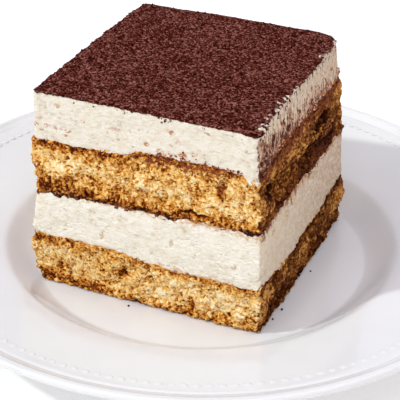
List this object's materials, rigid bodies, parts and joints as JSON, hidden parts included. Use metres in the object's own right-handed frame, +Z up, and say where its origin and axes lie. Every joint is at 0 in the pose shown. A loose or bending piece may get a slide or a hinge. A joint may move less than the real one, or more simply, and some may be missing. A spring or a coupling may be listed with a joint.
{
  "type": "tiramisu slice on a dessert plate",
  "caption": "Square slice of layered sponge and cream with a cocoa-dusted top, standing in the well of a round white dessert plate with a beaded rim.",
  "frame": {"origin": "middle of the plate, on the surface that it stands on", "axes": "+Z up; the slice's cut front looks along -Y and its cut right side along +X"},
  "size_m": [0.203, 0.203, 0.0751],
  "materials": {
    "plate": "white porcelain under a clear glossy glaze",
    "sponge": "moist golden sponge with open crumb, browner where soaked",
    "cream": "soft ivory cream, cut with faint drag marks and brown flecks",
    "cocoa": "dry grainy cocoa powder, dark reddish brown"
  },
  "bodies": {
    "root": {"plate": "plate", "sponge_lower": "sponge", "cream_lower": "cream", "cocoa_seam": "cocoa", "sponge_upper": "sponge", "cream_upper": "cream", "cocoa_top": "cocoa"}
  },
  "joints": []
}
